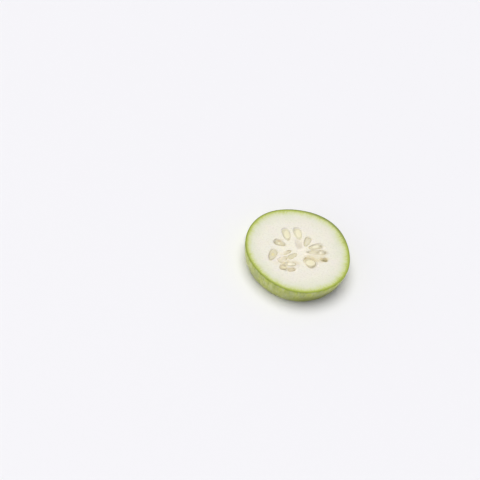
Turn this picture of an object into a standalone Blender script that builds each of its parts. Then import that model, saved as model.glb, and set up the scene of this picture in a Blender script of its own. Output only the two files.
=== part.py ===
"""A thick round slice of bottle gourd, lying on the smaller of its two cut faces.

The slice is two bodies that share one outline: a ring of green rind, and the pale flesh inside it.
The outline is a circle with a few low lobes, and it narrows from the upper cut face to the lower one.
Seeds lie in shallow pockets in both cut faces. Each seed is rooted in the flesh and ends just under the cut.
Units are metres, +Z is up, and the lower cut face lies in the plane z = 0.
"""

import math

import bmesh
import bpy
from mathutils import Matrix, Vector

MM = 0.001

# The slice
FACE_RADIUS = 33.9 * MM       # mean radius of the upper cut face
THICKNESS = 13.5 * MM         # from one cut face to the other
LOWER_SHARE = 0.90            # size of the lower cut face beside the upper one
BULGE = 0.8 * MM              # how far the skin swells out past a straight taper, half way up
RIND = 1.6 * MM               # thickness of the green rind
GAP = 0.3 * MM                # clearance between rind and flesh
EDGE = 0.3 * MM               # height and width of the worn edge round each cut
SIDES = 96                    # points round the outline
SKIN_STEPS = 6                # rows of faces up the skin
WALL_STEPS = 3                # rows of faces where rind and flesh meet

# How the outline leaves a circle: number of lobes, their height as a share of the radius, bearing of a peak
LOBES = ((3, 0.0097, -59), (4, 0.0060, -23), (5, 0.0059, -7))

# The seeds in the upper cut: x, y, length and width in millimetres, and the bearing of the pointed end
SEEDS = (
    (-10.0, 9.2, 10.8, 5.8, -64),
    (-3.3, 13.0, 10.4, 5.8, -65),
    (3.9, 9.0, 9.2, 4.3, -97),
    (-12.2, 0.5, 8.2, 4.8, -4),
    (-13.9, -10.6, 10.4, 5.2, -95),
    (10.0, 7.2, 10.4, 4.6, 218),
    (12.0, 3.1, 12.4, 4.2, 203),
    (9.5, -6.7, 9.6, 7.6, 162),
    (-1.9, -6.4, 7.8, 3.6, 55),
    (-5.9, -5.0, 6.6, 2.6, 50),
    (-7.0, -11.4, 7.6, 4.2, 52),
    (-0.9, -12.9, 6.4, 3.6, 26),
    (-5.0, -17.5, 5.2, 4.2, 5),
    (0.1, -17.1, 5.6, 3.4, 32),
)

# Pockets that their seed has left: the same four values and bearing, then the depth in millimetres
EMPTY_POCKETS = (
    (-0.9, 4.7, 7.8, 4.4, -72, 0.6),
    (17.2, -0.9, 6.0, 3.6, 207, 1.8),
)

# Seeds and pockets
SEED_THICKNESS = 2.0 * MM
SEED_DEPTH = 0.1 * MM         # from the cut face down to a seed's crown
SEED_TAPER = 0.25             # how much narrower than its middle a seed's pointed end is
SEED_FULLNESS = 0.8           # power on the ball's width along a seed: below 1 its ends are blunter
POCKET_MARGIN = 0.5 * MM      # width of the groove round a seed
POCKET_DEPTH = 1.3 * MM
POCKET_RISE = 0.2 * MM        # how far outside the cut face the middle of a pocket's form lies
SEED_SIDES = 12
SEED_RINGS = 8

# The lower cut meets other seeds of the same pack: those above, mirrored in X and turned by this bearing
LOWER_TURN = 38

SHARP = math.radians(40)      # edges that turn by more than this stay crisp

# Waxy green skin, and moist pale flesh
RIND_COLOUR = (0.33, 0.42, 0.09, 1)
RIND_ROUGHNESS = 0.4
FLESH_COLOUR = (0.80, 0.80, 0.66, 1)
FLESH_ROUGHNESS = 0.45


def material(name, colour, roughness):
    """A Principled material with the part's own colour."""
    made = bpy.data.materials.new(name)
    made.use_nodes = True
    shader = made.node_tree.nodes["Principled BSDF"]
    shader.inputs["Base Color"].default_value = colour
    shader.inputs["Roughness"].default_value = roughness
    made.diffuse_color = colour
    return made


def placed(name, shape, collection=None):
    """A bmesh as a new object with smooth faces and crisp cut edges."""
    mesh = bpy.data.meshes.new(name)
    shape.to_mesh(mesh)
    shape.free()
    mesh.shade_smooth()
    mesh.set_sharp_from_angle(angle=SHARP)
    made = bpy.data.objects.new(name, mesh)
    (collection or bpy.context.scene.collection).objects.link(made)
    return made


def lobed(bearing):
    """Radius of the outline as a share of its mean, at a bearing in radians."""
    return 1 + sum(height * math.cos(count * (bearing - math.radians(peak))) for count, height, peak in LOBES)


def outline(radius):
    """Points round the slice at one height, about the gourd's axis, for a mean radius there."""
    bearings = [math.tau * side / SIDES for side in range(SIDES)]
    return [(radius * lobed(b) * math.cos(b), radius * lobed(b) * math.sin(b)) for b in bearings]


def box_middle():
    """Middle of the box round the upper cut, which is set over the origin."""
    xs, ys = zip(*outline(FACE_RADIUS))
    return (min(xs) + max(xs)) / 2, (min(ys) + max(ys)) / 2


def skin_radius(z):
    """Mean radius of the skin at a height: a straight taper with a low round swell, highest half way up."""
    rise = z / THICKNESS
    share = LOWER_SHARE + (1 - LOWER_SHARE) * rise
    return FACE_RADIUS * share + BULGE * 4 * rise * (1 - rise)


def add_row(shape, radius, z):
    """One closed row of vertices at a height."""
    middle_x, middle_y = box_middle()
    return [shape.verts.new((x - middle_x, y - middle_y, z)) for x, y in outline(radius)]


def join_rows(shape, lower, upper):
    """A band of faces between two rows, facing out when the first row is below the second."""
    for side in range(SIDES):
        after = (side + 1) % SIDES
        shape.faces.new((lower[side], lower[after], upper[after], upper[side]))


def heights(bottom, top, steps):
    """Even heights from one to the other, both ends included."""
    return [bottom + (top - bottom) * step / steps for step in range(steps + 1)]


def make_rind():
    """The ring of rind: up the outside with a worn edge at each cut, and down the inside."""
    shape = bmesh.new()
    rows = [add_row(shape, skin_radius(0) - EDGE, 0)]
    rows += [add_row(shape, skin_radius(z), z) for z in heights(EDGE, THICKNESS - EDGE, SKIN_STEPS)]
    rows += [add_row(shape, skin_radius(THICKNESS) - EDGE, THICKNESS)]
    rows += [add_row(shape, skin_radius(z) - RIND, z) for z in heights(THICKNESS, 0, WALL_STEPS)]
    for lower, upper in zip(rows, rows[1:] + rows[:1]):
        join_rows(shape, lower, upper)
    rind = placed("rind", shape)
    rind.data.materials.append(material("rind", RIND_COLOUR, RIND_ROUGHNESS))
    return rind


def make_disc():
    """The flesh before its seeds: a round of the same outline, one gap inside the rind."""
    shape = bmesh.new()
    rows = [add_row(shape, skin_radius(z) - RIND - GAP, z) for z in heights(0, THICKNESS, WALL_STEPS)]
    for lower, upper in zip(rows, rows[1:]):
        join_rows(shape, lower, upper)
    shape.faces.new(rows[-1])
    shape.faces.new(reversed(rows[0]))
    return placed("flesh", shape)


def drop(name, length, width, thickness, place, bearing, collection):
    """A flat seed-shaped body: a squashed ball that narrows along +X, turned to its bearing."""
    shape = bmesh.new()
    bmesh.ops.create_uvsphere(shape, u_segments=SEED_SIDES, v_segments=SEED_RINGS, radius=1)
    bmesh.ops.rotate(shape, verts=shape.verts, matrix=Matrix.Rotation(math.pi / 2, 3, "Y"))
    for vert in shape.verts:
        along = min(abs(vert.co.x), 1)
        blunt = math.sqrt(1 - along * along) ** (SEED_FULLNESS - 1) if along < 1 else 0
        vert.co.y *= blunt * (1 - SEED_TAPER * vert.co.x)
        vert.co.z *= blunt
    bmesh.ops.scale(shape, verts=shape.verts, vec=(length / 2, width / 2, thickness / 2))
    bmesh.ops.rotate(shape, verts=shape.verts, matrix=Matrix.Rotation(math.radians(bearing), 3, "Z"))
    bmesh.ops.translate(shape, verts=shape.verts, vec=place)
    return placed(name, shape, collection)


def lower_place(x, y, bearing):
    """Where a seed of the upper cut shows in the lower one: mirrored in X, turned, and drawn in with the taper."""
    turned = LOWER_SHARE * Matrix.Rotation(math.radians(LOWER_TURN), 2) @ Vector((-x, y))
    return turned.x, turned.y, 180 - bearing + LOWER_TURN


def make_pack(pockets, seeds):
    """The cutters of the pockets and the bodies of the seeds, for both cut faces."""
    margin = 2 * POCKET_MARGIN
    hollows = [(*row, POCKET_DEPTH / MM) for row in SEEDS] + list(EMPTY_POCKETS)
    for cut, face_z, inward in (("upper", THICKNESS, -1), ("lower", 0, 1)):
        for number, (x, y, length, width, bearing, depth) in enumerate(hollows):
            if cut == "lower":
                x, y, bearing = lower_place(x, y, bearing)
            length, width, depth = length * MM, width * MM, depth * MM
            place = Vector((x * MM, y * MM, face_z))
            rise = Vector((0, 0, -inward * POCKET_RISE))
            drop(f"pocket_{cut}_{number}", length + margin, width + margin, 2 * (depth + POCKET_RISE),
                 place + rise, bearing, pockets)
            if number < len(SEEDS):
                sink = Vector((0, 0, inward * (SEED_DEPTH + SEED_THICKNESS / 2)))
                drop(f"seed_{cut}_{number}", length, width, SEED_THICKNESS, place + sink, bearing, seeds)


def boolean(target, operation, collection, solver):
    """Applies one Boolean with everything in a collection, and removes the collection's objects."""
    modifier = target.modifiers.new(operation.lower(), "BOOLEAN")
    modifier.operation = operation
    modifier.operand_type = "COLLECTION"
    modifier.collection = collection
    modifier.solver = solver
    bpy.context.view_layer.update()
    result = bpy.data.meshes.new_from_object(target.evaluated_get(bpy.context.evaluated_depsgraph_get()))
    target.modifiers.remove(modifier)
    target.data = result
    for member in list(collection.objects):
        bpy.data.objects.remove(member)
    bpy.data.collections.remove(collection)


def new_collection(name):
    """A collection in the scene."""
    made = bpy.data.collections.new(name)
    bpy.context.scene.collection.children.link(made)
    return made


def make_flesh():
    """The flesh: the disc with its pockets cut and its seeds fused in."""
    flesh = make_disc()
    pockets = new_collection("pockets")
    seeds = new_collection("seeds")
    make_pack(pockets, seeds)
    boolean(flesh, "DIFFERENCE", pockets, "EXACT")
    # Seeds that lean on one another leave edges of four faces with EXACT
    boolean(flesh, "UNION", seeds, "MANIFOLD")
    flesh.data.name = "flesh"
    flesh.data.shade_smooth()
    flesh.data.set_sharp_from_angle(angle=SHARP)
    flesh.data.materials.clear()
    flesh.data.materials.append(material("flesh", FLESH_COLOUR, FLESH_ROUGHNESS))
    return flesh


def main():
    for old in list(bpy.data.objects):
        bpy.data.objects.remove(old)
    make_rind()
    make_flesh()


main()
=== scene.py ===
"""Looks of a thick slice of bottle gourd, lying on its smaller cut face.

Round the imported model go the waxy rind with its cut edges, the moist cut flesh with its pockets, and the
seeds. Every surface is worked out with numpy, in metres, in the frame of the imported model.
"""
from collections import namedtuple

import bpy
import numpy as np
from mathutils import Matrix, Vector


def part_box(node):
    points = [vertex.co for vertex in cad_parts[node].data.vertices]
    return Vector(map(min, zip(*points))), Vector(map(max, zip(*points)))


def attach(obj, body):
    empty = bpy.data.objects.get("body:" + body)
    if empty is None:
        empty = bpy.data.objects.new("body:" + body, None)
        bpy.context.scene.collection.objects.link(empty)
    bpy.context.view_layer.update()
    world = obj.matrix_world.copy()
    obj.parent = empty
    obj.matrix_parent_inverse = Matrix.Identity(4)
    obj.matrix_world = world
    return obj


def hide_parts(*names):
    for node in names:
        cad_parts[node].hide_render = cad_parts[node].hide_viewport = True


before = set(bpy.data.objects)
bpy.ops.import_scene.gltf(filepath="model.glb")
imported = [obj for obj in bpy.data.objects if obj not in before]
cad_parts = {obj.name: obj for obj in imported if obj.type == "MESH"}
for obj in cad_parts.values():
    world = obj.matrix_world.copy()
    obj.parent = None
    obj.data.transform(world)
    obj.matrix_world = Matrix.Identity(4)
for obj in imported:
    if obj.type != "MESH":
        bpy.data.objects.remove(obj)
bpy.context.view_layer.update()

MM = 0.001

# The slice, with the driving sizes of its solids
LOWEST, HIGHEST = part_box("rind")
THICKNESS = HIGHEST.z - LOWEST.z
FACE_RADIUS = 33.89 * MM      # a hundredth of a millimetre inside the solid, whose outline has 96 flats
LOWER_SHARE = 0.90            # size of the lower cut beside the upper one
BULGE = 0.8 * MM              # how far the skin swells out past a straight taper, half way up
RIND = 1.6 * MM               # thickness of the green rind
GAP = 0.3 * MM                # clearance between the two solids
EDGE = 0.3 * MM               # height and width of the worn edge round each cut
WALL_DEPTH = RIND + GAP / 2   # from the skin in to where rind and flesh meet here
SIDES = 480                   # points round the outline
CREASE = np.radians(50)       # edges that turn by more than this stay crisp

# How the outline leaves a circle: number of lobes, their height as a share of the radius, bearing of a peak
LOBES = ((3, 0.0097, -59), (4, 0.0060, -23), (5, 0.0059, -7))

# Seeds in the upper cut, in millimetres and degrees: place, size and bearing of the pointed end, and how tan
# and how pale the coat is. Then the kernel: its share of the seed's length and of its width, how far along
# the seed and to its left it lies, its turn and how yellow it is. Then the side where the seed has sunk in
# its pocket, how much shade is painted in the seam and on the seed's edge there, and the share of that
# on the other side
Seed = namedtuple(
    "Seed", "x y length width bearing tan pale kernel slim shift aside twist yellow side shade other")
SEEDS = (
    Seed(-10.0, 9.2, 10.8, 5.8, -64, 0.00, 0.15, 0.64, 0.64, 0.02, 0.08, 0, 0.34, 190, 0.50, 0.12),
    Seed(-3.3, 13.0, 10.4, 5.8, -65, 0.00, 0.60, 0.64, 0.60, 0.00, 0.08, 0, 0.28, 165, 0.35, 0.08),
    Seed(3.9, 9.0, 9.2, 4.3, -97, 0.10, 0.25, 0.00, 0.00, 0.00, 0.00, 0, 0.00, 185, 0.60, 0.30),
    Seed(-12.2, 0.5, 8.2, 4.8, -4, 0.20, 0.00, 0.22, 0.30, -0.12, -0.20, 0, 0.40, 195, 1.00, 0.40),
    Seed(-13.9, -10.6, 10.4, 5.2, -95, 0.15, 0.10, 0.27, 0.46, -0.06, 0.00, 0, 1.00, 205, 0.85, 0.25),
    Seed(10.0, 7.2, 10.4, 4.6, 218, 0.20, 0.40, 0.60, 0.40, -0.10, -0.08, 0, 0.10, 130, 0.45, 0.50),
    Seed(12.0, 3.1, 12.4, 4.2, 203, 0.35, 0.60, 0.13, 0.52, -0.38, 0.15, 0, 0.20, 203, 0.15, 0.00),
    Seed(9.5, -6.7, 9.6, 7.6, 162, 0.20, 0.00, 0.66, 0.60, -0.12, 0.00, 43, 0.30, 320, 0.85, 0.12),
    Seed(-1.9, -6.4, 7.8, 3.6, 55, 0.15, 0.05, 0.00, 0.00, 0.00, 0.00, 0, 0.00, 130, 0.20, 0.20),
    Seed(-5.9, -5.0, 6.6, 2.6, 50, 0.50, 0.50, 0.00, 0.00, 0.00, 0.00, 0, 0.00, 50, 0.50, 0.00),
    Seed(-7.0, -11.4, 7.6, 4.2, 52, 0.35, 0.40, 0.00, 0.00, 0.00, 0.00, 0, 0.00, 190, 0.10, 0.00),
    Seed(-0.9, -12.9, 6.4, 3.6, 26, 0.22, 0.80, 0.45, 0.62, -0.36, -0.10, 0, 0.00, 300, 0.75, 0.10),
    Seed(-5.0, -17.5, 5.2, 4.2, 5, 0.40, 0.00, 0.64, 0.28, 0.12, 0.05, 0, 0.60, 280, 0.90, 0.25),
    Seed(0.1, -17.1, 5.6, 3.4, 32, 0.45, 0.05, 0.00, 0.00, 0.00, 0.00, 0, 0.00, 30, 0.60, 0.10),
)

# Pockets that their seed has left, and how deep, how tan and how grey they are,
# and how much shade is painted in their hole
Pocket = namedtuple("Pocket", "x y length width bearing depth tan grey dark")
EMPTY_POCKETS = (
    Pocket(-0.9, 4.7, 7.8, 4.4, -72, 0.5, 0.0, 1.0, 0.0),
    Pocket(17.2, -0.9, 6.0, 3.6, 207, 1.4, 0.9, 0.0, 1.0),
)

# Soft marks on the pulp and seeds of the upper cut, by the field that they add to: place, size, bearing and
# strength
Mark = namedtuple("Mark", "x y length width bearing weight")
MARKS = {
    "tan": (
        (-13.0, 1.9, 3.4, 1.6, 15, 1.00),
        (-12.0, 3.2, 3.4, 1.4, 20, 0.60),
        (-9.8, -15.6, 4.0, 3.0, 40, 0.25),
        (-8.6, 7.4, 5.4, 1.2, 118, 0.60),
        (-8.3, -8.0, 5.0, 3.4, 60, 0.45),
        (-6.2, -6.6, 3.4, 2.2, 50, 0.45),
        (-5.6, -14.2, 4.4, 3.4, 40, 0.95),
        (-5.6, -12.2, 4.0, 1.6, 60, 0.40),
        (-5.4, -10.4, 3.4, 1.6, 50, 0.80),
        (-5.0, -9.2, 3.0, 2.4, 40, 0.70),
        (-3.8, -15.0, 4.4, 2.2, 90, 0.75),
        (-3.6, -11.8, 4.0, 3.4, 60, 0.65),
        (-2.4, -16.4, 2.4, 2.6, 0, 0.50),
        (0.0, -14.6, 4.0, 1.2, 20, 0.50),
        (0.8, -11.0, 6.0, 3.4, 10, 0.55),
        (6.2, -4.4, 2.6, 3.4, 20, 0.80),
        (8.0, -2.7, 7.0, 3.4, 10, 0.80),
        (8.8, 4.2, 4.0, 1.2, 38, 0.35),
        (10.6, 5.6, 4.4, 1.0, 38, 0.80),
        (10.8, -2.8, 5.4, 2.8, 0, 1.00),
        (11.6, 0.0, 10.0, 4.0, 25, 0.45),
        (11.8, 1.0, 4.0, 2.2, 20, 0.50),
        (12.2, 3.2, 3.0, 2.6, 40, 1.00),
        (13.4, -3.1, 5.4, 3.0, -10, 0.80),
        (13.6, -1.4, 4.4, 2.2, 10, 0.50),
        (15.0, 2.2, 5.0, 1.8, 25, 0.50),
        (15.2, 0.2, 3.2, 3.6, 0, 0.60),
        (16.3, 2.0, 3.0, 1.4, 20, 0.60),
        (16.4, -3.2, 3.0, 1.4, 10, 0.50),
        (18.8, 0.6, 3.4, 2.4, 30, 0.75),
    ),
    "grey": (
        (-8.6, -9.8, 7.0, 4.0, 55, 0.25),
        (-1.6, 7.2, 5.0, 4.4, -72, 0.60),
        (0.8, 3.2, 3.4, 3.2, -60, 0.95),
        (1.6, -11.8, 5.0, 3.8, 10, 0.60),
        (9.2, 1.0, 6.0, 3.4, 25, 0.30),
    ),
    # Pale lips and spots on the wet pulp, some of them painted highlights
    "lip": (
        (-9.9, -11.2, 6.0, 1.6, 85, 1.00),
        (-8.8, -11.2, 4.0, 1.4, 60, 0.60),
        (-8.5, -10.0, 4.8, 2.6, 48, 1.00),
        (-7.9, -6.0, 5.0, 1.4, 58, 0.90),
        (-6.0, -12.5, 3.0, 1.8, 50, 0.80),
        (-2.0, -13.3, 2.8, 2.4, 30, 0.60),
        (-0.8, -15.4, 4.4, 0.9, 18, 1.00),
        (1.9, 5.9, 6.4, 1.2, -72, 1.00),
        (2.0, 1.0, 5.0, 4.0, 30, 0.80),
        (3.2, -16.5, 3.2, 1.3, 70, 0.80),
        (3.8, 8.2, 5.0, 1.6, -97, 0.30),
        (4.1, -3.6, 1.6, 1.5, 0, 0.70),
        (5.5, -1.3, 3.4, 2.2, 30, 1.00),
        (7.0, -9.0, 3.2, 1.6, 130, 0.70),
        (10.6, 0.6, 7.0, 1.2, 10, 0.80),
        (14.0, 3.5, 2.0, 2.6, 20, 0.50),
        (15.0, -6.6, 3.4, 1.6, 75, 1.00),
        (15.4, 8.6, 2.0, 1.5, 60, 1.00),
    ),
    "shade": (
        (-16.0, -10.2, 6.4, 1.2, 95, 0.40),
        (-15.2, -0.5, 2.8, 2.0, -50, 1.00),
        (-9.0, 0.2, 2.0, 1.8, 0, 0.60),
        (-4.3, -13.4, 3.0, 2.0, 60, 0.60),
        (-2.8, -19.2, 3.0, 1.6, 40, 0.75),
        (-0.6, -14.2, 4.0, 0.8, 18, 0.80),
        (0.9, 3.0, 2.6, 2.2, -60, 0.20),
        (1.6, -15.8, 2.0, 1.0, 30, 0.50),
        (4.4, 12.2, 3.6, 2.2, 0, 0.45),
        (6.3, 0.7, 2.4, 1.8, 10, 1.00),
        (12.6, -8.6, 5.4, 1.2, 55, 1.00),
        (12.7, 9.0, 3.0, 2.4, 40, 1.00),
        (12.8, 4.2, 1.8, 1.2, 25, 0.80),
        (13.5, 5.4, 1.6, 1.2, 0, 0.80),
        (16.8, 5.3, 3.8, 2.4, 10, 1.00),
    ),
    # Dark spots, partly painted shade along the seams
    "dark": (
        (-15.6, -0.8, 1.8, 1.4, -50, 0.30),
        (-15.0, -14.0, 3.6, 1.2, 112, 0.10),
        (-6.5, 15.4, 3.6, 0.8, 108, 0.35),
        (-4.8, -15.6, 2.6, 1.4, 0, 0.50),
        (-4.2, -19.2, 2.8, 1.0, 0, 0.45),
        (2.5, 9.4, 5.4, 1.6, 97, 0.12),
        (6.1, -4.4, 1.6, 2.6, 20, 0.12),
        (6.3, 0.7, 1.6, 1.2, 10, 0.30),
        (12.2, 3.0, 2.6, 2.0, 45, 0.40),
    ),
}

# The fields that colour a cut: painted seam shadows, tan and grey stains, dark spots that are partly painted
# shade in seams and in a hole, pale lips and spots on the wet pulp that are partly painted highlights, and
# the spongy core
FIELDS = ("shade", "tan", "grey", "dark", "lip", "core")

# The lower cut meets other seeds of the same pack: those above, mirrored in X and turned by this bearing
LOWER_TURN = 38

# Form of the seeds
SEED_THICKNESS = 2.0 * MM
SEED_DEPTH = 0.1 * MM         # from the plane of the cut down to a seed's crown
SEED_TAPER = 0.25             # how much narrower than its middle a seed's pointed end is
SEED_FULLNESS = 0.8           # power on the width along a seed: below 1 its ends are blunter
SEED_SHARE = 0.94             # a seed is drawn smaller than its solid, so that the seam round it shows
SEED_SIDES = 64
SEED_RINGS = 28
CROWN = SEED_THICKNESS / 2    # from a seed's middle up to its crown
LEAN = 0.14 * MM              # how much lower a seed lies on the side where it has sunk
GAP_SINK = 0.16 * CROWN       # depth of the gap round a kernel
KERNEL_ROUND = 0.05 * CROWN   # how much lower a kernel is at its edge than in its middle
TAN_ON_SEEDS = 0.90           # how much of a tan mark shows on a seed

# Relief of the cuts
CUT_SINK = 0.10 * MM          # how far the pulp has sunk below the plane of the cut
RIND_SHARE = 0.3              # share of that where the flesh meets the rind
CUT_WAVE = 0.02 * MM          # height of the pulp's slow lumps
LUMP_PITCH = 7 * MM           # distance between them
LUMP_COUNT = 14               # sines that make them up
LUMP_SEEDS = {"upper": 5, "lower": 6}
LIP = 0.3                     # strength of the pale lip round a seam
LIP_RISE = 0.03 * MM          # how high a lip of full strength stands
SEAM_DEPTH = 0.55 * MM        # depth of the seam round a seed
SEAM_SLOPE = 0.45 * MM        # the seam is in full this far inside the seed's outline
SEAM_LIP = 0.08 * MM          # and gone this far outside it
SEAM_SHADE = 0.25 * MM        # distance over which the seam's shadow fades
SEAM_SHIFT = 0.25 * MM        # how much further in the seam lies on the side where the pulp meets the seed
CORE = (9 * MM, 20 * MM)      # radii where the spongy core starts to fade and where it has gone
SEED_ZONE = 21 * MM           # radius of the middle of the cut, whose mesh is finer

# Rows of faces from the axis out to the edge of the seed zone, and from there out to the rind
FACE_ROWS = {"upper": (110, 24), "lower": (48, 12)}
FLESH_WALL_ROWS = 6           # down the wall of the flesh
CUT_ROWS = 6                  # over the rind's cut, from the worn edge in to the flesh
EDGE_ROWS = 5                 # round a worn edge
SKIN_ROWS = 33                # down the skin
RIND_WALL_ROWS = 13           # up the wall of the rind

# The skin's slow unevenness: its depth, the distance between its waves, their number and their seed
SKIN_DIP = 0.05 * MM
SKIN_PITCH = 9 * MM
SKIN_COUNT = 12
SKIN_SEED = 8

# How the colours of the rim change round the slice, as cosines like the lobes: how deep the green looks, and
# how strong the dark skin line is. Then the bearings of a dull band in the green, and of the shade that is
# painted on the foot of the skin on one side
GREEN_SHARE = 1.0225
GREEN_DRIFT = ((1, 0.105, 209), (2, 0.045, 166))
LINE_SHARE = 0.64
LINE_DRIFT = ((1, 0.56, 114), (2, 0.32, 84))
BAND_SIDE = 67
PAINTED_SHADE_SIDE = 314
FIBRE_STRETCH = 3.5           # how much longer than wide the radial fibres are

# What the colour fields lay over the flesh and over the seeds, in this order: field, strength, colour
FLESH_TINTS = (
    ("core", 0.7, "F3EED9"),
    ("tan", 1.0, "DCCD9B"),
    ("lip", 0.9, "FDF6E4"),
    ("grey", 0.6, "D0C4B0"),
    ("shade", 0.6, "A8A188"),
    ("dark", 0.8, "8C8256"),
)
# On the seeds, the gap tint is painted shade in the narrow gap round a kernel
SEED_TINTS = (
    ("gap", 0.18, "C2B78E"),
    ("lip", 0.80, "FCF2E2"),
    ("shade", 0.60, "A8A188"),
    ("dark", 0.80, "8C8256"),
)

# Light enters moist pulp and seeds by less than a millimetre, and blue goes the least far
MOIST = {"Subsurface Weight": 0.15, "Subsurface Radius": (1.0, 0.9, 0.5), "Subsurface Scale": 0.0008}

# Colours of the light tent by the sine of the direction's elevation: brightest up to 5 degrees, a grey-violet
# wall from 9 to 21 degrees, and a dim roof from 30 degrees up
TENT = (
    (0.0, "EAE7F3"),
    (0.08, "EAE7F3"),
    (0.16, "CBC9DC"),
    (0.36, "CBC9DC"),
    (0.50, "878594"),
    (1.0, "878594"),
)

# The lights: name, bearing, elevation and width of the disc in degrees, power and colour
LIGHTS = (
    ("softbox", 150, 78, 50, 2.18, "FFFFF9"),
    ("side_light", 235, 22, 80, 0.45, "FFFFFF"),
)

# The photograph's view of the upper cut: where its middle lies in the 480 x 480 frame, and how it is seen
FRAME_SIDE = 480
FACE_PIXEL = (298.36, 249.66)
ELEVATION = 48.8
ROLL = 19.05
DISTANCE = 0.9
MM_PER_PIXEL = 0.630
SENSOR = 36.0

FLOOR_HALF = 30.0             # half the floor's side, so far out that its edge stays out of sight


def smooth(low, high, value):
    """0 below low, 1 above high, and the cubic 3t^2 - 2t^3 between them."""
    t = np.clip((value - low) / (high - low), 0, 1)
    return t * t * (3 - 2 * t)


def around(bearing, lobes):
    """A sum of cosines round the slice, from rows of their number of lobes, height and bearing of a peak."""
    return sum(height * np.cos(count * (bearing - np.radians(peak))) for count, height, peak in lobes)


def lobed(bearing):
    """Radius of the outline as a share of its mean: 1 plus a few cosines round the slice."""
    return 1 + around(bearing, LOBES)


def skin_radius(z):
    """Mean radius of the skin at a height: a straight taper with a low round swell, highest half way up."""
    rise = z / THICKNESS
    return FACE_RADIUS * (LOWER_SHARE + (1 - LOWER_SHARE) * rise) + BULGE * 4 * rise * (1 - rise)


def axis_place():
    """Where the gourd's axis stands: opposite the middle of the box round the lobed outline."""
    bearing = np.radians(np.arange(0, 360, 0.25))
    x = FACE_RADIUS * lobed(bearing) * np.cos(bearing)
    y = FACE_RADIUS * lobed(bearing) * np.sin(bearing)
    return -(x.min() + x.max()) / 2, -(y.min() + y.max()) / 2


AXIS_X, AXIS_Y = axis_place()
BEARINGS = np.arange(SIDES) * 2 * np.pi / SIDES


def waves(x, y, wavelength, count, seed):
    """Smooth unevenness from about -1 to 1: sines of about one wavelength, in seeded directions, summed."""
    random = np.random.default_rng(seed)
    total = np.zeros_like(x)
    for _ in range(count):
        heading, phase = random.uniform(0, 2 * np.pi, 2)
        pitch = wavelength * random.uniform(0.7, 1.6)
        along = x * np.cos(heading) + y * np.sin(heading)
        total += np.sin(2 * np.pi * along / pitch + phase)
    return total / np.sqrt(count)


def surface(name, rows, ring=False, first=None, last=None):
    """A closed mesh from an array of rows of points round an axis.

    Quads join each row to the next. A ring joins its last row to its first, and otherwise each end closes in
    a fan on its own pole. Faces point to the left of the way the rows run, seen along the sides.
    """
    count, sides = rows.shape[:2]
    points = rows.reshape(-1, 3)
    index = np.arange(count * sides).reshape(count, sides)
    near = index if ring else index[:-1]
    far = np.roll(index, -1, 0) if ring else index[1:]
    quads = np.stack([near, far, np.roll(far, -1, 1), np.roll(near, -1, 1)], -1).reshape(-1, 4).tolist()
    fans = []
    if first is not None:
        pole = len(points)
        points = np.vstack([points, first])
        fans += np.stack([np.full(sides, pole), index[0], np.roll(index[0], -1)], -1).tolist()
    if last is not None:
        pole = len(points)
        points = np.vstack([points, last])
        fans += np.stack([np.full(sides, pole), np.roll(index[-1], -1), index[-1]], -1).tolist()
    mesh = bpy.data.meshes.new(name)
    mesh.from_pydata(points.tolist(), [], quads + fans)
    mesh.shade_smooth()
    made = bpy.data.objects.new(name, mesh)
    bpy.context.scene.collection.objects.link(made)
    return made


def paint(piece, name, values):
    """Stores one number or one vector for each point of a piece, for its material to read."""
    values = np.asarray(values, np.float32)
    kind, field = ("FLOAT_VECTOR", "vector") if values.ndim == 2 else ("FLOAT", "value")
    piece.data.attributes.new(name, kind, "POINT").data.foreach_set(field, values.ravel())


def place(bearing, radius, z):
    """Points from bearings, radii from the gourd's axis, and heights."""
    bearing, radius, z = np.broadcast_arrays(bearing, radius, z)
    return np.stack([AXIS_X + radius * np.cos(bearing), AXIS_Y + radius * np.sin(bearing), z], -1)


def paint_rim(piece, points):
    """Stores what colours a cut's rim, with depths in millimetres.

    That is each point's true depth from the skin, how deep it looks in the green, the dull band, the strength
    of the skin line, and a seamless place for radial fibres: the bearing as a point on a circle, and the
    depth shrunk.
    """
    bearing = np.arctan2(points[:, 1] - AXIS_Y, points[:, 0] - AXIS_X)
    radius = np.hypot(points[:, 1] - AXIS_Y, points[:, 0] - AXIS_X)
    depth = (skin_radius(points[:, 2]) * lobed(bearing) - radius) / MM
    circle = FACE_RADIUS / MM
    paint(piece, "depth", depth)
    paint(piece, "green", depth * (GREEN_SHARE + around(bearing, GREEN_DRIFT)))
    band = smooth(0.75, 1.0, np.cos(bearing - np.radians(BAND_SIDE)))
    paint(piece, "band", band * (1 - smooth(1.2, 2.4, depth)))
    paint(piece, "line", LINE_SHARE + around(bearing, LINE_DRIFT))
    fibre = [circle * np.cos(bearing), circle * np.sin(bearing), depth / FIBRE_STRETCH]
    paint(piece, "fibre", np.stack(fibre, -1))


def in_metres(row, share=1.0):
    """A row of the tables above with its lengths in metres, drawn in to a share of its size."""
    return row._replace(x=row.x * MM, y=row.y * MM, length=row.length * MM * share,
                        width=row.width * MM * share)


def in_lower_cut(row):
    """The same seed, pocket or mark in the lower cut: mirrored in X, turned, and drawn in with the taper."""
    turned = LOWER_SHARE * Matrix.Rotation(np.radians(LOWER_TURN), 2) @ Vector((-row.x, row.y))
    moved = row._replace(x=turned.x, y=turned.y, bearing=180 - row.bearing + LOWER_TURN)
    return moved._replace(side=180 - row.side + LOWER_TURN) if hasattr(row, "side") else moved


def rows_of(table, cut):
    """The rows of a table as they lie in the upper or the lower cut."""
    return table if cut == "upper" else [in_lower_cut(row) for row in table]


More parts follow.
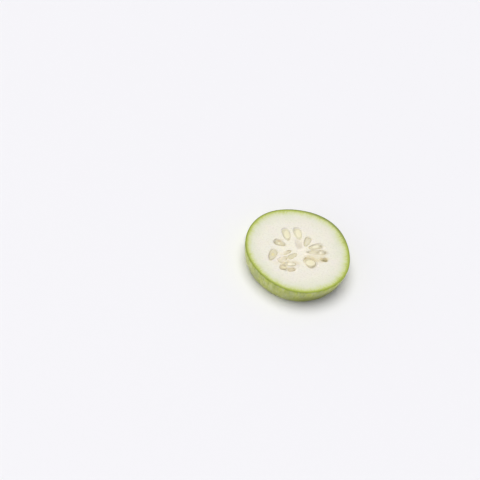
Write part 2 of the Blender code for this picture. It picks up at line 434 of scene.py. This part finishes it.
def in_seed(x, y, shape):
    """A point in a seed's own measure: along it and across it, each 1 at the outline, and both together."""
    angle = np.radians(shape.bearing)
    along = ((x - shape.x) * np.cos(angle) + (y - shape.y) * np.sin(angle)) / (shape.length / 2)
    across = (-(x - shape.x) * np.sin(angle) + (y - shape.y) * np.cos(angle)) / (shape.width / 2)
    across = across / (1 - SEED_TAPER * np.clip(along, -1.2, 1.2))
    power = 2 / SEED_FULLNESS
    return along, across, (np.abs(along) ** power + np.abs(across) ** power) ** (1 / power)


def sunken_side(bearing, side):
    """1 on the side where a seed has sunk, 0 on the other, and smooth between; both bearings in radians."""
    return smooth(-0.4, 0.9, np.cos(bearing - side))


def marked(x, y, cut):
    """The fields that colour one cut, with its soft marks.

    A mark fades as exp(-1.2 q^2), where q is 1 at its outline.
    """
    fields = {name: np.zeros_like(x) for name in FIELDS}
    for name, rows in MARKS.items():
        for mark in rows_of([Mark(*row) for row in rows], cut):
            near = in_seed(x, y, in_metres(mark))[2]
            fields[name] = np.maximum(fields[name], mark.weight * np.exp(-1.2 * near**2))
    return fields


def cut_face(x, y, cut):
    """The relief of one cut, as depths below its plane, with the fields that colour it.

    The seam round a seed is open on the side where the seed has sunk, and on the other side the pulp rises to
    meet the seed. An empty pocket is deepest at its blunt end.
    """
    depth = np.zeros_like(x)
    fields = marked(x, y, cut)

    def add_to(name, values):
        """Keeps the larger of a field and new values."""
        fields[name] = np.maximum(fields[name], values)

    for seed in rows_of(SEEDS, cut):
        near = in_seed(x, y, in_metres(seed))[2]
        facing = sunken_side(np.arctan2(y - seed.y * MM, x - seed.x * MM), np.radians(seed.side))
        reach = np.hypot(x - seed.x * MM, y - seed.y * MM)
        outward = reach - reach / np.maximum(near, 0.001)
        wall = outward + SEAM_SHIFT * (1 - facing)
        depth = np.maximum(depth, SEAM_DEPTH * (1 - smooth(-SEAM_SLOPE, SEAM_LIP, wall)))
        # Painted shadow in the seam, strongest on the side where the seed has sunk
        rim = np.exp(-(((outward + SEAM_LIP / 2) / SEAM_SHADE) ** 2))
        edge = smooth(-SEAM_LIP, 3 * SEAM_LIP, outward) * (1 - smooth(3 * SEAM_LIP, 12 * SEAM_LIP, outward))
        add_to("shade", seed.shade * rim * (seed.other + (1 - seed.other) * facing))
        add_to("tan", seed.tan * (1 - smooth(0.8, 1.35, near)))
        add_to("lip", LIP * edge)
    for pocket in rows_of(EMPTY_POCKETS, cut):
        along, across, near = in_seed(x, y, in_metres(pocket))
        inside = 1 - smooth(0.45, 1.05, near)
        blunt = 1 - smooth(-0.60, 0.25, along)
        depth = np.maximum(depth, pocket.depth * MM * inside * (0.25 + 0.75 * blunt))
        # Painted shade in the deepest part of a pocket's hole
        hole = 1 - smooth(0.35, 1.0, np.hypot(along + 0.16, (across - 0.28) / 0.95))
        add_to("grey", pocket.grey * smooth(-1.8, 0.6, along) * (1 - smooth(0.85, 1.3, near)))
        add_to("dark", pocket.dark * hole)
        add_to("tan", pocket.tan * (1 - smooth(0.7, 1.2, near)))
    add_to("core", 1 - smooth(*CORE, np.hypot(x - AXIS_X, y - AXIS_Y)))
    lumps = waves(x, y, LUMP_PITCH, LUMP_COUNT, LUMP_SEEDS[cut])
    return depth + CUT_SINK - LIP_RISE * fields["lip"] + CUT_WAVE * lumps, fields


def make_flesh():
    """The flesh: out over the upper cut, down the wall behind the rind, and in under the lower cut."""
    faces = {}
    for cut, z, upward in (("upper", THICKNESS, 1), ("lower", 0.0, -1)):
        inner, outer = (np.linspace(0, 1, count + 1)[1:, None] for count in FACE_ROWS[cut])
        wall = skin_radius(z) * lobed(BEARINGS) - WALL_DEPTH
        zone = SEED_ZONE * (1 if cut == "upper" else LOWER_SHARE)
        radius = np.concatenate([inner * zone + 0 * wall, zone + outer * (wall - zone)])
        flat = place(BEARINGS, radius, z)
        depth, fields = cut_face(flat[..., 0], flat[..., 1], cut)
        flat[..., 2] -= upward * depth * (1 - (1 - RIND_SHARE) * smooth(0.9, 1, radius / wall))
        pole_depth, pole_fields = cut_face(np.array([AXIS_X]), np.array([AXIS_Y]), cut)
        faces[cut] = flat, fields, np.array([AXIS_X, AXIS_Y, z - upward * pole_depth[0]]), pole_fields
    upper, upper_fields, upper_pole, upper_pole_fields = faces["upper"]
    lower, lower_fields, lower_pole, lower_pole_fields = faces["lower"]
    steps = np.linspace(THICKNESS, 0, FLESH_WALL_ROWS + 1)[1:-1, None]
    wall = place(BEARINGS, skin_radius(steps) * lobed(BEARINGS) - WALL_DEPTH, steps)
    rows = np.concatenate([upper, wall, lower[::-1]])
    flesh = surface("cut_flesh", rows, first=upper_pole, last=lower_pole)
    flesh.data.set_sharp_from_angle(angle=CREASE)
    bare = np.zeros(wall.shape[0] * SIDES)
    for name in FIELDS:
        paint(flesh, name, np.concatenate([upper_fields[name].ravel(), bare, lower_fields[name][::-1].ravel(),
                                           upper_pole_fields[name], lower_pole_fields[name]]))
    paint_rim(flesh, np.vstack([rows.reshape(-1, 3), upper_pole, lower_pole]))
    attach(flesh, "root")
    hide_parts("flesh")
    return flesh


def skin_waves(z):
    """Slow unevenness of the skin at one height, between about -1 and 1, seamless round the slice."""
    x = FACE_RADIUS * np.cos(BEARINGS) + z / 3
    y = FACE_RADIUS * np.sin(BEARINGS) - z / 3
    return np.clip(waves(x, y, SKIN_PITCH, SKIN_COUNT, SKIN_SEED) / 2, -1, 1)


def rind_section():
    """The rows of the rind's section: level, depth, height, and how much of the cut's colour they show.

    A row's radius is the skin's at its level, less its depth. The rows run out over the upper cut, round a
    quarter circle of the worn edge, down the skin, round the lower edge, in under the lower cut, and up the
    wall that meets the flesh.
    """
    quarter = np.linspace(0, np.pi / 2, EDGE_ROWS + 1)
    inward = np.linspace(0, 1, CUT_ROWS + 1)[1:]
    depths = EDGE + inward * (WALL_DEPTH - EDGE)
    sinks = RIND_SHARE * CUT_SINK * smooth(0, 1, inward)
    edges = [(EDGE * (1 - np.cos(turn)), 1 - np.sin(turn)) for turn in quarter]
    section = [(THICKNESS, depth, THICKNESS - sink, 1) for depth, sink in zip(depths[::-1], sinks[::-1])]
    section += [(THICKNESS - drop, EDGE * share, THICKNESS - drop, share) for drop, share in edges]
    for z in np.linspace(THICKNESS - EDGE, EDGE, SKIN_ROWS + 1)[1:-1]:
        section.append((z, SKIN_DIP * (0.5 + 0.5 * skin_waves(z)), z, 0))
    section += [(rise, EDGE * share, rise, share) for rise, share in edges[::-1]]
    section += [(0, depth, sink, 1) for depth, sink in zip(depths, sinks)]
    section += [(z, WALL_DEPTH, z, 1) for z in np.linspace(0, THICKNESS, RIND_WALL_ROWS + 1)[1:-1]]
    return section


def make_rind():
    """The rind: its section carried round the lobed outline as a closed ring, with its colour fields."""
    section = rind_section()
    rows = np.stack([place(BEARINGS, skin_radius(level) * lobed(BEARINGS) - depth, z)
                     for level, depth, z, _ in section])
    rind = surface("waxy_rind", rows, ring=True)
    rind.data.set_sharp_from_angle(angle=CREASE)
    paint(rind, "cut", np.repeat(np.array([share for *_, share in section], float), SIDES))
    # Painted shade: the skin is darkened low down on one side, where little light bounces up from the ground
    shaded_side = smooth(0.75, 0.98, np.cos(BEARINGS - np.radians(PAINTED_SHADE_SIDE)))
    rise = rows[..., 2] / THICKNESS
    foot = (1 - smooth(0.35, 0.85, rise)) * (0.8 + 0.2 * smooth(0, 0.3, rise))
    paint(rind, "painted_foot_shade", (shaded_side * foot).ravel())
    paint_rim(rind, rows.reshape(-1, 3))
    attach(rind, "root")
    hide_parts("rind")
    return rind


def seed_outline(turn):
    """The seed's outline in its own plane, as shares of half its length and width.

    x is cos(t) and y is sin(t) with its size raised to SEED_FULLNESS, narrowed towards the pointed end at +x.
    """
    x = np.cos(turn)
    y = np.sign(np.sin(turn)) * np.abs(np.sin(turn)) ** SEED_FULLNESS * (1 - SEED_TAPER * x)
    return x, y


def kernel_of(seed, x, y, share, upward):
    """Where a seed's kernel shows, where the gap round it lies, and how far points are from its middle.

    The kernel is an ellipse, off the middle of the seed and turned, and that distance is 1 at its outline. x
    and y are shares of half the seed's length and width, and share is how far out a point lies, 1 at the
    seed's outline.
    """
    if seed.kernel == 0:
        return np.zeros_like(x), np.zeros_like(x), np.zeros_like(x)
    twist = np.radians(seed.twist)
    along = (x - seed.shift) * seed.length
    across = (y - seed.aside * upward) * seed.width
    near = np.hypot((along * np.cos(twist) + across * np.sin(twist)) / (seed.kernel * seed.length),
                    (across * np.cos(twist) - along * np.sin(twist)) / (seed.slim * seed.width))
    kernel = 1 - smooth(0.90, 1.06, near)
    gap = np.exp(-(((near - 1.13) / 0.10) ** 2)) * (1 - smooth(0.75, 0.95, share))
    return kernel, gap, near


def make_seed(name, row, cut):
    """One seed: a flat drop, cut nearly flat on top where its kernel shows in a narrow gap.

    With q from 0 in the middle to 1 on the outline, the top is CROWN times the lesser of 1.5 times the root
    of 1 - q^2, and 0.93 + 0.07 (1 - q^2). The underside is CROWN times the root of 1 - q^2. The gap is sunk,
    and the whole seed leans down to the side where it has sunk in its pocket.
    """
    seed = in_metres(row, SEED_SHARE)
    upward = 1 if cut == "upper" else -1
    angle, side = np.radians(seed.bearing), np.radians(seed.side)
    out_x, out_y = seed_outline(np.arange(SEED_SIDES) * 2 * np.pi / SEED_SIDES)
    share = np.sin(np.linspace(0, np.pi / 2, SEED_RINGS))[1:, None]
    top_x, top_y = share * out_x, share * out_y
    kernel, gap, near = kernel_of(seed, top_x, top_y, share, upward)
    top = CROWN * np.minimum(np.sqrt(1 - share**2) * 1.5, 0.93 + 0.07 * (1 - share**2))
    top = top - GAP_SINK * gap - KERNEL_ROUND * kernel * near**2
    under = share[:-1][::-1]
    rows = np.concatenate([
        np.stack([top_x, top_y, top], -1),
        np.stack([under * out_x, under * out_y, -CROWN * np.sqrt(1 - under**2) + 0 * out_x], -1),
    ])
    poles = np.array([[0, 0, top[0].mean()], [0, 0, -CROWN]])
    middle_z = THICKNESS - SEED_DEPTH - CROWN if cut == "upper" else SEED_DEPTH + CROWN

    def set_in(points):
        """Points in the seed's own measure, set in the cut."""
        along = points[..., 0] * seed.length / 2
        across = points[..., 1] * seed.width / 2 * upward
        x = along * np.cos(angle) - across * np.sin(angle)
        y = along * np.sin(angle) + across * np.cos(angle)
        sunk = LEAN * (0.5 + (x * np.cos(side) + y * np.sin(side)) / seed.length)
        return np.stack([seed.x + x, seed.y + y, middle_z + (points[..., 2] - sunk) * upward], -1)

    def over(values, below):
        """Values of the top's points, then one value for the whole underside, then both poles."""
        below_all = np.full(under.size * SEED_SIDES, below)
        return np.concatenate([values.ravel(), below_all, [values[0].mean(), below]])

    ends, skin = set_in(poles), set_in(rows)
    made = surface(name, skin, first=ends[0], last=ends[1])
    points = np.vstack([skin.reshape(-1, 3), ends])
    marks = marked(points[:, 0], points[:, 1], cut)
    # Painted shade on the seed's edge beside the seam
    facing = sunken_side(np.arctan2(top_y * seed.width * upward, top_x * seed.length) + angle, side)
    shade = seed.shade * (seed.other + (1 - seed.other) * facing) * smooth(0.62, 0.98, share)
    paint(made, "kernel", over(kernel, 0.0))
    paint(made, "gap", over(gap, 0.0))
    paint(made, "edge", over(share**4 + 0 * top_x, 1.0))
    paint(made, "shade", np.maximum(marks["shade"], over(shade, 1.0)))
    paint(made, "tan", np.maximum(marks["tan"] * TAN_ON_SEEDS, seed.tan))
    paint(made, "lip", marks["lip"])
    paint(made, "dark", marks["dark"])
    paint(made, "pale", np.full(len(points), seed.pale))
    paint(made, "yellow", np.full(len(points), seed.yellow))
    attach(made, "root")
    return made


def make_seeds():
    """The seeds of both cuts."""
    return [make_seed(f"seed_{cut}_{number:02d}", row, cut)
            for cut in ("upper", "lower") for number, row in enumerate(rows_of(SEEDS, cut), 1)]


def linear(hex_colour):
    """A colour such as "F0EADF" in linear light, opaque."""
    channels = [int(hex_colour[i:i + 2], 16) / 255 for i in (0, 2, 4)]
    return tuple(c / 12.92 if c <= 0.04045 else ((c + 0.055) / 1.055) ** 2.4 for c in channels) + (1.0,)


def add(tree, kind, inputs=None, stops=None, **settings):
    """Adds one node: its settings, its inputs as values or as sockets, and a ramp's colour stops."""
    made = tree.nodes.new(kind)
    for name, value in settings.items():
        setattr(made, name, value)
    for name, value in (inputs or {}).items():
        if isinstance(value, bpy.types.NodeSocket):
            tree.links.new(value, made.inputs[name])
        else:
            made.inputs[name].default_value = value
    for number, (position, hex_colour) in enumerate(stops or ()):
        elements = made.color_ramp.elements
        stop = elements[number] if number < len(elements) else elements.new(position)
        stop.position = position
        stop.color = linear(hex_colour)
    return made


def new_material(name):
    """An empty Principled material: the material, its tree and its shader."""
    made = bpy.data.materials.new(name)
    made.use_nodes = True
    return made, made.node_tree, made.node_tree.nodes["Principled BSDF"]


def tint(tree, colour, weight, amount, hex_colour):
    """Lays a colour over another by a field's weight times an amount."""
    share = add(tree, "ShaderNodeMath", {0: weight, 1: amount}, operation="MULTIPLY")
    return add(tree, "ShaderNodeMix", {0: share.outputs[0], 6: colour, 7: linear(hex_colour)},
               data_type="RGBA").outputs[2]


def dress(tree, shader, colour, grain, strength, distance, numbers):
    """Gives a shader its colour, a bump from a grain's height, and the numbers that are the same all over."""
    bump = add(tree, "ShaderNodeBump", {"Height": grain, "Strength": strength, "Distance": distance})
    tree.links.new(colour, shader.inputs["Base Color"])
    tree.links.new(bump.outputs["Normal"], shader.inputs["Normal"])
    for name, value in numbers.items():
        shader.inputs[name].default_value = value


def cut_colour(tree):
    """Colour of gourd flesh where a knife has cut it.

    A dark skin line comes first, the skin's own outer layer with some painted shade at the edge,
    then bright green, then cream towards the core. The green's inner edge is ragged along the radial fibres,
    and the cream is faintly clouded.
    """
    depth, green, band, line_share = (add(tree, "ShaderNodeAttribute", attribute_name=name).outputs["Fac"]
                                      for name in ("depth", "green", "band", "line"))
    fibre = add(tree, "ShaderNodeAttribute", attribute_name="fibre").outputs["Vector"]
    body = add(tree, "ShaderNodeTexCoord").outputs["Object"]
    # Fibres about 0.8 mm apart, a slower drift of 5 mm, and clouds about 8 mm across
    streaks = add(tree, "ShaderNodeTexNoise",
                  {"Vector": fibre, "Scale": 1.2, "Detail": 3.0, "Roughness": 0.6})
    broad = add(tree, "ShaderNodeTexNoise", {"Vector": fibre, "Scale": 0.2, "Detail": 2.0})
    clouds = add(tree, "ShaderNodeTexNoise",
                 {"Vector": body, "Scale": 130.0, "Detail": 3.0, "Roughness": 0.55})
    # Both bend the depth, by up to about 1.8 and 1.5 mm
    ragged = add(tree, "ShaderNodeMath", {0: streaks.outputs["Fac"], 1: 3.6, 2: -1.8},
                 operation="MULTIPLY_ADD")
    wander = add(tree, "ShaderNodeMath", {0: broad.outputs["Fac"], 1: 3.0, 2: -1.5},
                 operation="MULTIPLY_ADD")
    both = add(tree, "ShaderNodeMath", {0: ragged.outputs[0], 1: wander.outputs[0]}, operation="ADD")
    bent = add(tree, "ShaderNodeMath", {0: green, 1: both.outputs[0]}, operation="ADD")
    # The outer 0.6 mm keep their depth and the bend is in full from 3 mm in, so that the rim stays even
    keep = add(tree, "ShaderNodeMapRange", {"Value": green, "From Min": 0.6, "From Max": 3.0})
    mixed = add(tree, "ShaderNodeMix", {0: keep.outputs[0], 2: green, 3: bent.outputs[0]}, data_type="FLOAT")
    # The ramp runs over the outer 12 mm
    scaled = add(tree, "ShaderNodeMath", {0: mixed.outputs[0], 1: 12.0}, operation="DIVIDE")
    ramp = add(tree, "ShaderNodeValToRGB", {"Fac": scaled.outputs[0]}, stops=[
        (0.00, "90A030"), (0.055, "9EAD40"), (0.085, "ABB852"), (0.13, "BAC569"), (0.19, "CBD488"),
        (0.28, "D5DAA8"), (0.45, "E0E2C9"), (1.0, "ECEAD8")])
    cloudy = add(tree, "ShaderNodeMapRange",
                 {"Value": clouds.outputs["Fac"], "From Min": 0.4, "From Max": 0.6})
    inward = add(tree, "ShaderNodeMapRange",
                 {"Value": depth, "From Min": 3.0, "From Max": 9.0, "To Max": 0.6})
    share = add(tree, "ShaderNodeMath", {0: cloudy.outputs[0], 1: inward.outputs[0]}, operation="MULTIPLY")
    colour = tint(tree, ramp.outputs["Color"], share.outputs[0], 1.0, "EDE7D9")
    colour = tint(tree, colour, band, 0.5, "7C8450")
    # The skin line, partly painted shade at the edge, fades between 0.3 and 0.85 mm in,
    # and is uneven round the slice
    uneven = add(tree, "ShaderNodeMapRange",
                 {"Value": broad.outputs["Fac"], "From Min": 0.35, "From Max": 0.6, "To Min": 0.55})
    line = add(tree, "ShaderNodeMapRange",
               {"Value": depth, "From Min": 0.30, "From Max": 0.85, "To Min": 1.0, "To Max": 0.0})
    faint = add(tree, "ShaderNodeMath", {0: line.outputs[0], 1: line_share}, operation="MULTIPLY")
    strength = add(tree, "ShaderNodeMath", {0: faint.outputs[0], 1: uneven.outputs[0]}, operation="MULTIPLY")
    return tint(tree, colour, strength.outputs[0], 0.95, "68721A")


def gourd_flesh():
    """Bottle gourd flesh, cut with a knife: moist and spongy, with fine cells and a few soft highlights."""
    material, tree, shader = new_material("knife_cut_gourd_flesh")
    colour = cut_colour(tree)
    for name, amount, hex_colour in FLESH_TINTS:
        field = add(tree, "ShaderNodeAttribute", attribute_name=name).outputs["Fac"]
        colour = tint(tree, colour, field, amount, hex_colour)
    body = add(tree, "ShaderNodeTexCoord").outputs["Object"]
    # Cells about 1.1 mm across, drawn coarser than the real ones so that they show
    cells = add(tree, "ShaderNodeTexNoise",
                {"Vector": body, "Scale": 900.0, "Detail": 4.0, "Roughness": 0.65})
    pores = add(tree, "ShaderNodeMapRange",
                {"Value": cells.outputs["Fac"], "From Min": 0.50, "From Max": 0.35, "To Max": 0.5})
    colour = tint(tree, colour, pores.outputs[0], 1.0, "D9D6C2")
    dress(tree, shader, colour, cells.outputs["Fac"], 0.5, 0.0003, {"Roughness": 0.45, "IOR": 1.38, **MOIST})
    return material


def gourd_skin():
    """Bottle gourd skin: smooth and waxy, sage green, with paler flecks and streaks along the gourd."""
    material, tree, shader = new_material("waxy_gourd_skin")
    body = add(tree, "ShaderNodeTexCoord").outputs["Object"]
    # Streaks 1 mm wide that run up the side, mottling 3 mm across and twice as tall, blotches 8 mm across,
    # and flecks of 0.5 mm
    tall = add(tree, "ShaderNodeMapping", {"Vector": body, "Scale": (1000.0, 1000.0, 130.0)}).outputs[0]
    oval = add(tree, "ShaderNodeMapping", {"Vector": body, "Scale": (1.0, 1.0, 0.5)}).outputs[0]
    streaks = add(tree, "ShaderNodeTexNoise", {"Vector": tall, "Scale": 0.9, "Detail": 3.0})
    mottle = add(tree, "ShaderNodeTexNoise",
                 {"Vector": oval, "Scale": 330.0, "Detail": 5.0, "Roughness": 0.65})
    blotches = add(tree, "ShaderNodeTexNoise", {"Vector": oval, "Scale": 120.0, "Detail": 2.0})
    flecks = add(tree, "ShaderNodeTexNoise", {"Vector": body, "Scale": 1900.0, "Detail": 1.0})
    height = add(tree, "ShaderNodeSeparateXYZ", {0: body}).outputs["Z"]
    rise = add(tree, "ShaderNodeMath", {0: height, 1: THICKNESS}, operation="DIVIDE")
    # The skin's colour by height: lighter towards the foot as painted light, for the bounce from the ground,
    # and darker at the very top, into the skin line
    base = add(tree, "ShaderNodeValToRGB", {"Fac": rise.outputs[0]}, stops=[
        (0.0, "CDD268"), (0.25, "BDC35E"), (0.75, "BCC360"), (0.88, "BFCB50"), (0.95, "B5C13A"),
        (1.0, "A3B034")])
    painted_foot_shade, line_share, cut = (add(tree, "ShaderNodeAttribute", attribute_name=name).outputs["Fac"]
                            for name in ("painted_foot_shade", "line", "cut"))
    # The dark skin line also shows on the brow, the top twentieth of the skin: the skin's own dark outer
    # layer, with painted shade under the cut edge
    brow = add(tree, "ShaderNodeMapRange", {"Value": rise.outputs[0], "From Min": 0.95, "From Max": 0.995})
    brow_line = add(tree, "ShaderNodeMath", {0: brow.outputs[0], 1: line_share}, operation="MULTIPLY")
    # Each noise shows between two of its values, with a strength and a colour
    colour = base.outputs["Color"]
    for noise, low, high, amount, hex_colour in (
        (mottle, 0.46, 0.60, 0.75, "C3C990"),
        (blotches, 0.45, 0.65, 0.50, "9DA666"),
        (streaks, 0.50, 0.70, 0.65, "8F9E4C"),
        (flecks, 0.60, 0.75, 0.40, "D5DAB2"),
    ):
        shown = add(tree, "ShaderNodeMapRange",
                    {"Value": noise.outputs["Fac"], "From Min": low, "From Max": high})
        colour = tint(tree, colour, shown.outputs[0], amount, hex_colour)
    # Painted shade on the foot of the skin on one side
    colour = tint(tree, colour, painted_foot_shade, 0.80, "7E872C")
    colour = tint(tree, colour, brow_line.outputs[0], 0.75, "68761C")
    colour = add(tree, "ShaderNodeMix", {0: cut, 6: colour, 7: cut_colour(tree)}, data_type="RGBA").outputs[2]
    dress(tree, shader, colour, flecks.outputs["Fac"], 0.2, 0.0001, {"Roughness": 0.38, "IOR": 1.42})
    return material


def seed_coat():
    """Soft unripe gourd seed: a smooth moist coat, cream to tan, and a cream to yellow kernel."""
    material, tree, shader = new_material("unripe_gourd_seed")
    fields = {name: add(tree, "ShaderNodeAttribute", attribute_name=name).outputs["Fac"]
              for name in ("kernel", "gap", "edge", "tan", "pale", "yellow", "shade", "lip", "dark")}
    coat = add(tree, "ShaderNodeMix", {0: fields["tan"], 6: linear("DEDABA"), 7: linear("D0B890")},
               data_type="RGBA").outputs[2]
    coat = tint(tree, coat, fields["pale"], 1.0, "E8E4C8")
    # Painted shade: the coat darkens towards its edge, beside the seam
    coat = tint(tree, coat, fields["edge"], 0.15, "C9C09A")
    kernel = add(tree, "ShaderNodeMix", {0: fields["yellow"], 6: linear("F3EFD2"), 7: linear("E3D9A7")},
                 data_type="RGBA").outputs[2]
    colour = add(tree, "ShaderNodeMix", {0: fields["kernel"], 6: coat, 7: kernel},
                 data_type="RGBA").outputs[2]
    for name, amount, hex_colour in SEED_TINTS:
        colour = tint(tree, colour, fields[name], amount, hex_colour)
    body = add(tree, "ShaderNodeTexCoord").outputs["Object"]
    # Grain a little over 0.5 mm across
    grain = add(tree, "ShaderNodeTexNoise", {"Vector": body, "Scale": 1800.0, "Detail": 2.0})
    dress(tree, shader, colour, grain.outputs["Fac"], 0.2, 0.0001, {"Roughness": 0.35, "IOR": 1.38, **MOIST})
    return material


def floor_finish():
    """Plain matt white board under the slice."""
    material, _, shader = new_material("matt_white_board")
    shader.inputs["Base Color"].default_value = linear("F1F1F1")
    shader.inputs["Roughness"].default_value = 0.7
    return material


def make_floor():
    """A wide plain floor in the plane that the slice rests on."""
    corners = [(x * FLOOR_HALF, y * FLOOR_HALF, 0) for x, y in ((-1, -1), (1, -1), (1, 1), (-1, 1))]
    mesh = bpy.data.meshes.new("floor")
    mesh.from_pydata(corners, [], [(0, 1, 2, 3)])
    floor = bpy.data.objects.new("floor", mesh)
    bpy.context.scene.collection.objects.link(floor)
    floor.data.materials.append(floor_finish())


def make_light(name, bearing, elevation, disc, power, colour):
    """A far light with a wide disc, for soft shadows, from a bearing and an elevation in degrees."""
    light = bpy.data.lights.new(name, "SUN")
    light.angle = np.radians(disc)
    light.energy = power
    light.color = linear(colour)[:3]
    made = bpy.data.objects.new(name, light)
    turn, tilt = np.radians(bearing), np.radians(elevation)
    made.location = Vector((np.cos(turn) * np.cos(tilt), np.sin(turn) * np.cos(tilt), np.sin(tilt)))
    made.rotation_euler = made.location.to_track_quat("Z", "Y").to_euler()
    bpy.context.scene.collection.objects.link(made)


def make_studio():
    """A pale light tent, with a large soft light nearly overhead and a weak low one in front."""
    world = bpy.data.worlds.new("pale_tent")
    world.use_nodes = True
    tree = world.node_tree
    upward = add(tree, "ShaderNodeTexCoord").outputs["Generated"]
    height = add(tree, "ShaderNodeSeparateXYZ", {0: upward}).outputs["Z"]
    tent = add(tree, "ShaderNodeValToRGB", {"Fac": height}, stops=TENT)
    tree.links.new(tent.outputs["Color"], tree.nodes["Background"].inputs["Color"])
    bpy.context.scene.world = world
    for light in LIGHTS:
        make_light(*light)
    bpy.context.scene.view_settings.view_transform = "Standard"


def make_camera():
    """The photograph's camera: looking down at the cut, rolled, with the cut's middle at its own pixel."""
    lens = SENSOR * DISTANCE / (FRAME_SIDE * MM_PER_PIXEL * MM)
    elevation, roll = np.radians(ELEVATION), np.radians(ROLL)
    back = Vector((0, -np.cos(elevation), np.sin(elevation)))
    level = Vector((1, 0, 0))
    upright = back.cross(level)
    right = level * np.cos(roll) + upright * np.sin(roll)
    up = upright * np.cos(roll) - level * np.sin(roll)
    look = Matrix((right, up, back)).transposed()
    focal = FRAME_SIDE * lens / SENSOR
    to_face = Vector((FACE_PIXEL[0] - FRAME_SIDE / 2, FRAME_SIDE / 2 - FACE_PIXEL[1], -focal))
    aim = to_face.rotation_difference(Vector((0, 0, -1))).to_matrix()
    data = bpy.data.cameras.new("camera")
    data.lens = lens
    data.sensor_width = SENSOR
    data.clip_start = 0.01
    camera = bpy.data.objects.new("camera", data)
    face = Vector((AXIS_X, AXIS_Y, THICKNESS))
    camera.matrix_world = Matrix.Translation(face + back * DISTANCE) @ (look @ aim).to_4x4()
    bpy.context.scene.collection.objects.link(camera)
    bpy.context.scene.camera = camera


def main():
    make_flesh().data.materials.append(gourd_flesh())
    make_rind().data.materials.append(gourd_skin())
    seed_finish = seed_coat()
    for seed in make_seeds():
        seed.data.materials.append(seed_finish)
    make_floor()
    make_studio()
    make_camera()


main()
